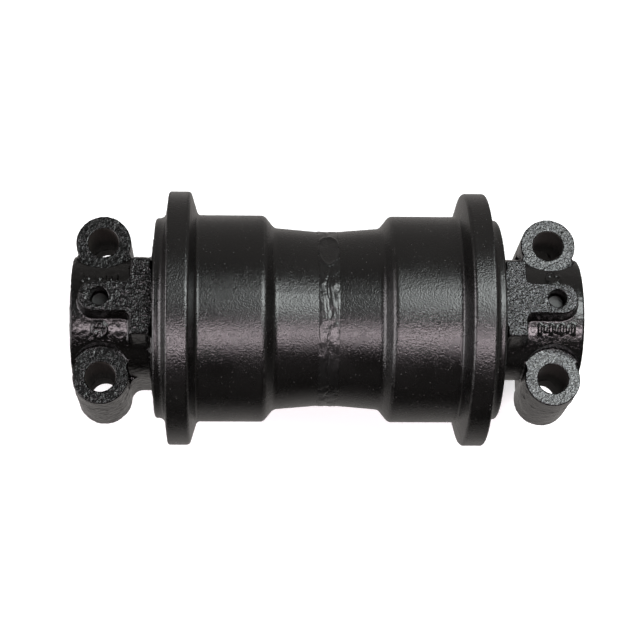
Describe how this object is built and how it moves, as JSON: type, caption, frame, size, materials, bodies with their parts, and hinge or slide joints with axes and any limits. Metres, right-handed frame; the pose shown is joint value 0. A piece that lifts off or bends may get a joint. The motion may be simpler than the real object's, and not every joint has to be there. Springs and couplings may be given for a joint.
{
  "type": "track roller",
  "caption": "Excavator bottom roller: flanged double-tread shell turning on a sealed oil-filled shaft between two cast end collars with bolt bosses.",
  "frame": {"origin": "middle of the shaft axis, halfway between the collars", "axes": "+X along the shaft, +Z from the mounting faces of the collars towards the bolt head seats, +Y across the bolt pairs"},
  "size_m": [0.3772, 0.19, 0.19],
  "materials": {
    "shell_paint": "satin black spray paint over forged and turned steel",
    "weld_paint": "glossier black paint over a rippled weld bead",
    "collar_paint": "black paint over rough cast iron, speckled on the machined land and seats",
    "ground_steel": "ground and induction hardened",
    "bronze": "turned bronze on a steel back",
    "lapped_iron": "lapped alloy iron",
    "seal_rubber": "matt nitrile rubber",
    "pin_steel": "steel with a thin coat of black overspray",
    "copper": "plain copper"
  },
  "bodies": {
    "carrier": {"collar_left": "collar_paint", "collar_right": "collar_paint", "shaft": "ground_steel", "seal_ring_fixed_left": "lapped_iron", "seal_ring_fixed_right": "lapped_iron", "seal_toric_fixed_left": "seal_rubber", "seal_toric_fixed_right": "seal_rubber", "shaft_o_ring_left": "seal_rubber", "shaft_o_ring_right": "seal_rubber", "lock_pin_left": "pin_steel", "lock_pin_right": "pin_steel", "oil_plug": "pin_steel", "plug_seal_ring": "copper"},
    "roller": {"shell_half_left": "shell_paint", "shell_half_right": "shell_paint", "weld_bead": "weld_paint", "bushing_left": "bronze", "bushing_right": "bronze", "seal_ring_turning_left": "lapped_iron", "seal_ring_turning_right": "lapped_iron", "seal_toric_turning_left": "seal_rubber", "seal_toric_turning_right": "seal_rubber"}
  },
  "joints": [
    {"name": "roller_spin", "type": "hinge", "parent": "carrier", "child": "roller", "pos_m": [0, 0, 0], "axis": [1, 0, 0], "continuous": true}
  ]
}
